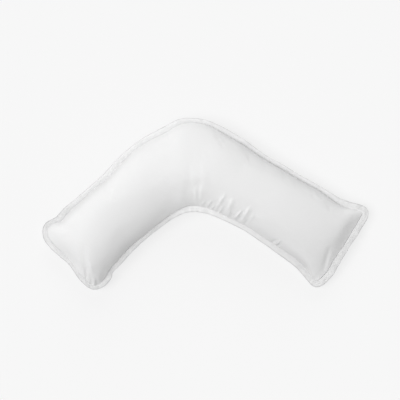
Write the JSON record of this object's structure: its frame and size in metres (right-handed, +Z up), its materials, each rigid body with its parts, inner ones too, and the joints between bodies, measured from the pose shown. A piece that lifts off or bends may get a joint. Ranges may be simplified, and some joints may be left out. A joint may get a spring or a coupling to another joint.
{
  "type": "v-shaped travel pillow",
  "caption": "White V-shaped filled cotton pillow with drawn-in sides, puckers inside the bend and a narrow stitched edge strip, for the neck or arm on a journey.",
  "frame": {"origin": "centre of the pillow's box, on the surface that it lies on", "axes": "+X along the V from its left arm's end to its right arm's end, +Y away from the open side of the V, +Z up"},
  "size_m": [0.6875, 0.3614, 0.1073],
  "materials": {
    "cover_cotton": "fine plain-woven white cotton, matt",
    "strip_cotton": "white cotton strip folded double and stitched, matt"
  },
  "bodies": {
    "root": {"pillow_body": "cover_cotton", "edge_strip": "strip_cotton"}
  },
  "joints": []
}
